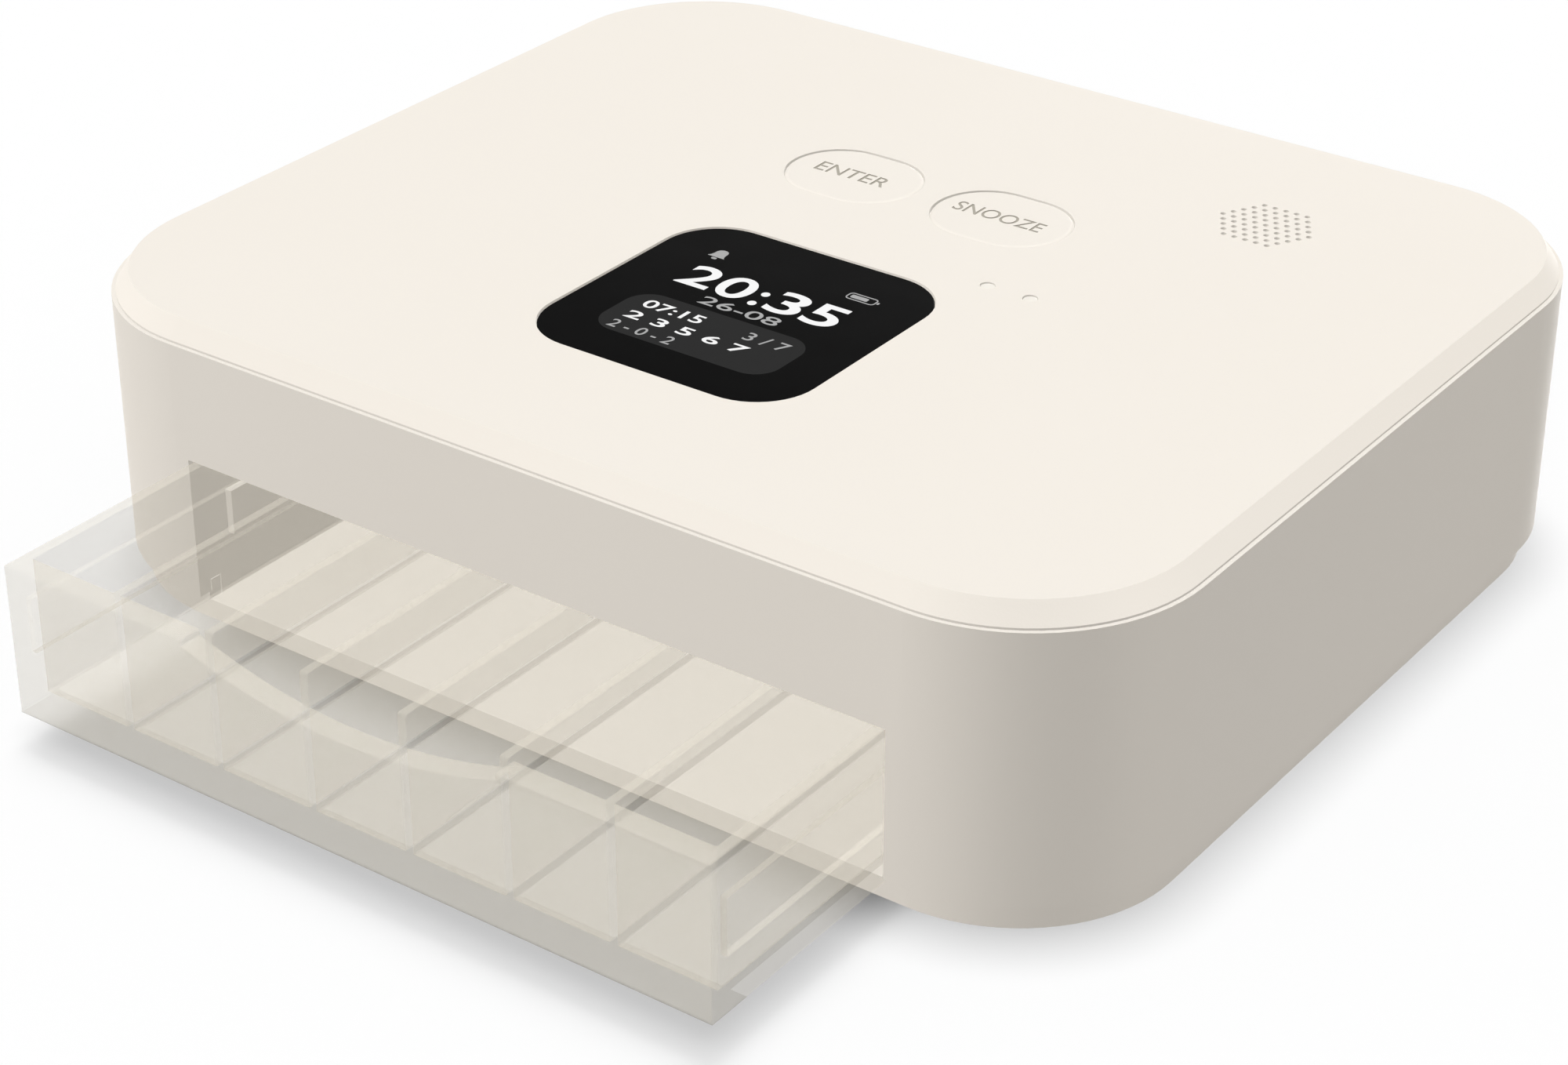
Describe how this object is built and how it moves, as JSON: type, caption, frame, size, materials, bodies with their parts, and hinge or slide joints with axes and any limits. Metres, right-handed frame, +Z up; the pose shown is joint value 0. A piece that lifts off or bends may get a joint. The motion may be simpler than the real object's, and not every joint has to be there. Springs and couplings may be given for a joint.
{
  "type": "smart pill box",
  "caption": "Rounded tabletop pill box with a flush display, push buttons and speaker in its lid, and a clear compartmented drawer that slides out of a front slot.",
  "frame": {"origin": "centre of the sole's underside, on the table", "axes": "+X to the right of the front, +Y to the back, +Z up; the drawer slides out along -Y"},
  "size_m": [0.2, 0.21, 0.0546],
  "materials": {
    "ivory": "fine matte ivory moulding",
    "ivory_inner": "fine matte ivory moulding",
    "sole": "matte silicone",
    "clear_plastic": "clear, faintly warm, polished",
    "magnet": "nickel plated",
    "board": "solder mask",
    "chip": "moulded",
    "lead": "insulated wire",
    "black_glass": "polished black glass",
    "foam": "foam tape",
    "panel": "flat panel",
    "flex": "polyimide film",
    "button": "fine matte ivory moulding",
    "silicone": "translucent silicone",
    "switch": "moulded",
    "light_pipe": "frosted clear",
    "lamp": "clear lamp body",
    "shield": "stamped can",
    "battery": "foil pouch",
    "connector": "moulded",
    "mesh": "woven dust mesh",
    "speaker_frame": "pressed frame and magnet",
    "cone": "paper cone",
    "clamp": "moulded bar",
    "screw": "zinc plated",
    "port": "drawn shell"
  },
  "bodies": {
    "housing": {"body_shell": "ivory", "top_cover": "ivory", "base_plate": "ivory", "anti_slip_sole": "sole", "drawer_bay": "ivory_inner", "sensor_board": "board", "hall_sensor": "chip", "sensor_cable": "lead", "display_lens": "black_glass", "display_adhesive": "foam", "display_panel": "panel", "display_flex": "flex", "confirm_dome": "silicone", "snooze_dome": "silicone", "tact_switches": "switch", "light_pipes": "light_pipe", "status_leds": "lamp", "main_board": "board", "wireless_module": "shield", "battery_pad": "foam", "battery": "battery", "battery_connector": "connector", "battery_cable": "lead", "speaker_mesh": "mesh", "speaker_gasket": "foam", "speaker_frame": "speaker_frame", "speaker_cone": "cone", "speaker_clamp": "clamp", "clamp_screws": "screw", "speaker_cable": "lead", "charge_board": "board", "charge_screws": "screw", "charge_port": "port", "charge_cable": "lead", "base_screws": "screw", "bay_screws": "screw", "board_screws": "screw"},
    "drawer": {"pill_drawer": "clear_plastic", "drawer_magnet": "magnet"},
    "confirm_cap": {"confirm_button": "button"},
    "snooze_cap": {"snooze_button": "button"}
  },
  "joints": [
    {"name": "drawer_slide", "type": "slide", "parent": "housing", "child": "drawer", "axis": [0, -1, 0], "range_m": [-0.04, 0.032]},
    {"name": "confirm_press", "type": "slide", "parent": "housing", "child": "confirm_cap", "axis": [0, 0, -1], "range_m": [0, 0.0008], "stiffness_N_per_m": 1500, "springref_m": -0.0004, "deforming": ["confirm_dome"]},
    {"name": "snooze_press", "type": "slide", "parent": "housing", "child": "snooze_cap", "axis": [0, 0, -1], "range_m": [0, 0.0008], "stiffness_N_per_m": 1500, "springref_m": -0.0004, "deforming": ["snooze_dome"]}
  ]
}
